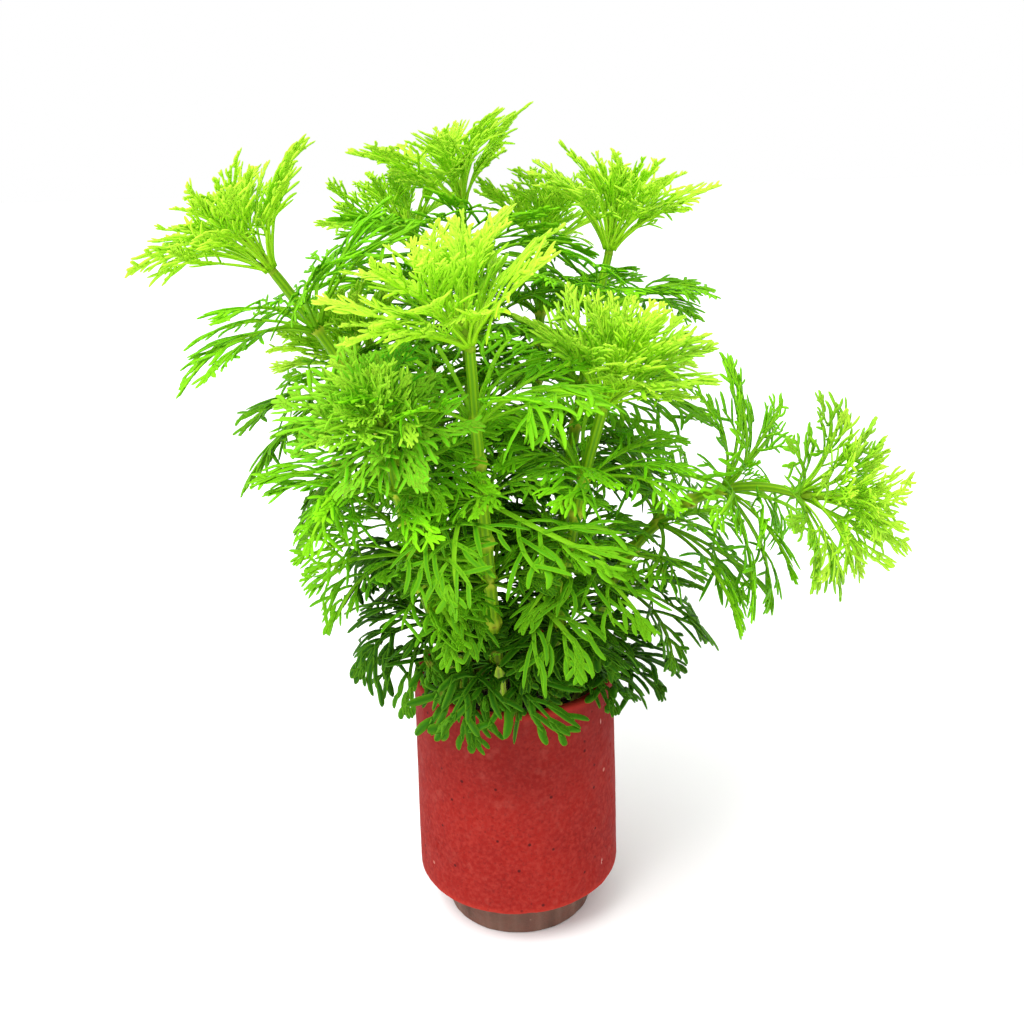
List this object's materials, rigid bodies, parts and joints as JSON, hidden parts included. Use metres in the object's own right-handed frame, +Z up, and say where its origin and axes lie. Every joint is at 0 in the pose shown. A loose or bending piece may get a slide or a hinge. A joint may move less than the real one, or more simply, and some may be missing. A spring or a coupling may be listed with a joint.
{
  "type": "potted aquarium plant",
  "caption": "Bushy water plant with whorls of feathery green leaves on fleshy stems, in a small round red cement pot on a narrower foot.",
  "frame": {"origin": "centre of the underside of the pot's foot", "axes": "+Z up through the pot, -Y to the front, +X to the right of someone who looks at the front"},
  "size_m": [0.1562, 0.128, 0.1808],
  "materials": {
    "red_cement": "matte cast cement dyed brick red, with small pores and pale specks",
    "bare_cement": "matte grey-brown cement, streaked and mottled",
    "soil": "damp dark planting fibre with grit",
    "stem": "smooth fleshy green skin, tan and scarred lower down",
    "leaf": "satin green leaf, slightly see-through",
    "young_leaf": "satin yellow-green young leaf, slightly see-through"
  },
  "bodies": {
    "root": {"crown_back_far_left": "young_leaf", "crown_back_left": "young_leaf", "crown_back_middle": "young_leaf", "crown_back_right": "young_leaf", "crown_front": "young_leaf", "crown_front_left": "young_leaf", "crown_front_right": "young_leaf", "crown_left": "young_leaf", "crown_middle_left": "young_leaf", "crown_right": "young_leaf", "pot": "red_cement", "pot_foot": "bare_cement", "soil": "soil", "stem_back_far_left": "stem", "stem_back_left": "stem", "stem_back_middle": "stem", "stem_back_right": "stem", "stem_front": "stem", "stem_front_left": "stem", "stem_front_right": "stem", "stem_left": "stem", "stem_middle_left": "stem", "stem_right": "stem", "whorl_back_far_left_1": "leaf", "whorl_back_far_left_2": "leaf", "whorl_back_far_left_3": "leaf", "whorl_back_left_1": "leaf", "whorl_back_left_2": "leaf", "whorl_back_left_3": "leaf", "whorl_back_left_4": "leaf", "whorl_back_middle_1": "leaf", "whorl_back_middle_2": "leaf", "whorl_back_middle_3": "leaf", "whorl_back_right_1": "leaf", "whorl_back_right_2": "leaf", "whorl_back_right_3": "leaf", "whorl_back_right_4": "leaf", "whorl_front_1": "leaf", "whorl_front_2": "leaf", "whorl_front_3": "leaf", "whorl_front_4": "leaf", "whorl_front_left_1": "leaf", "whorl_front_left_2": "leaf", "whorl_front_left_3": "leaf", "whorl_front_right_1": "leaf", "whorl_front_right_2": "leaf", "whorl_front_right_3": "leaf", "whorl_left_1": "leaf", "whorl_left_2": "leaf", "whorl_left_3": "leaf", "whorl_left_4": "leaf", "whorl_middle_left_1": "leaf", "whorl_middle_left_2": "leaf", "whorl_middle_left_3": "leaf", "whorl_right_1": "leaf", "whorl_right_2": "leaf", "whorl_right_3": "leaf", "whorl_right_4": "leaf"}
  },
  "joints": []
}
